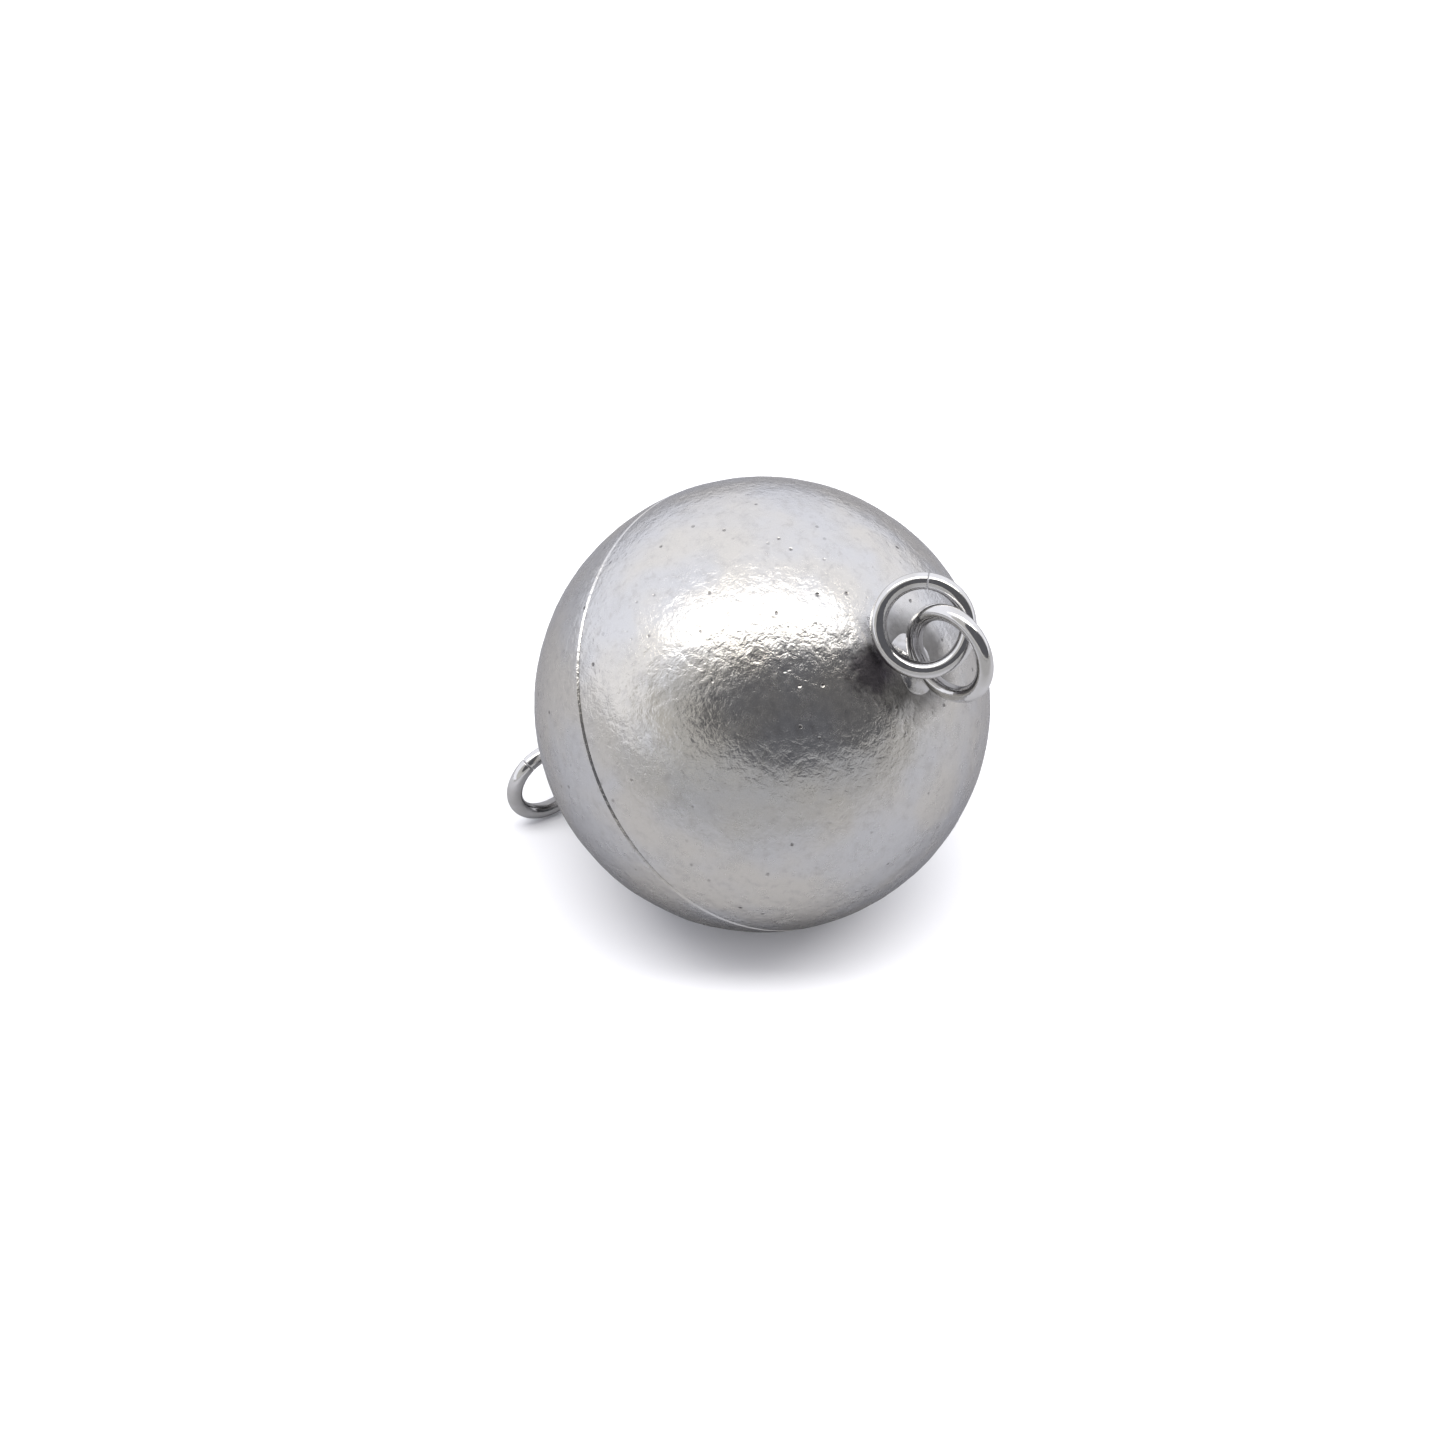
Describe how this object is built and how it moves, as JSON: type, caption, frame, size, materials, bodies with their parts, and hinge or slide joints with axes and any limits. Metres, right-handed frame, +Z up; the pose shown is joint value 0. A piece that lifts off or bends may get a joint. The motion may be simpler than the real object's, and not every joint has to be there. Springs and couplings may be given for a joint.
{
  "type": "magnetic ball clasp",
  "caption": "Satin silver ball clasp in two magnetic halves, with a wire eye and a linked jump ring at each pole, for a necklace or bracelet.",
  "frame": {"origin": "point of the floor directly under the centre of the closed ball, where the ball touches it", "axes": "+Z up from the floor; the clasp's axis is in the XZ plane and rises 37 degrees from +X, with the front half on the +X side"},
  "size_m": [0.0165, 0.014, 0.0142],
  "materials": {
    "shell": "satin, finely grained silver plate",
    "wire": "bright polished wire",
    "braze": "bright, slightly rippled braze",
    "plate": "turned face, satin",
    "cup": "drawn steel, nickel plated",
    "magnet": "nickel plated, ground faces",
    "adhesive": "cured epoxy"
  },
  "bodies": {
    "rear_half": {"rear_shell": "shell", "rear_plate": "plate", "rear_cup": "cup", "rear_magnet": "magnet", "rear_bond": "adhesive", "rear_fill": "adhesive", "rear_eye": "wire", "rear_braze": "braze"},
    "front_half": {"front_shell": "shell", "front_plate": "plate", "front_cup": "cup", "front_magnet": "magnet", "front_bond": "adhesive", "front_fill": "adhesive", "front_eye": "wire", "front_braze": "braze"},
    "front_ring": {"front_jump_ring": "wire"},
    "rear_ring": {"rear_jump_ring": "wire"}
  },
  "joints": [
    {"name": "pull_apart", "type": "slide", "parent": "rear_half", "child": "front_half", "axis": [0.7986, 0, 0.6018], "range_m": [0, 0.012]},
    {"name": "front_ring_swing", "type": "hinge", "parent": "front_half", "child": "front_ring", "pos_m": [0.00685, 0, 0.01216], "axis": [0.0525, 0.9962, -0.0696], "range_deg": [0, 170]},
    {"name": "rear_ring_swing", "type": "hinge", "parent": "rear_half", "child": "rear_ring", "pos_m": [-0.00685, 0, 0.00184], "axis": [0.5985, 0.1045, -0.7943], "range_deg": [-35, 170]}
  ]
}
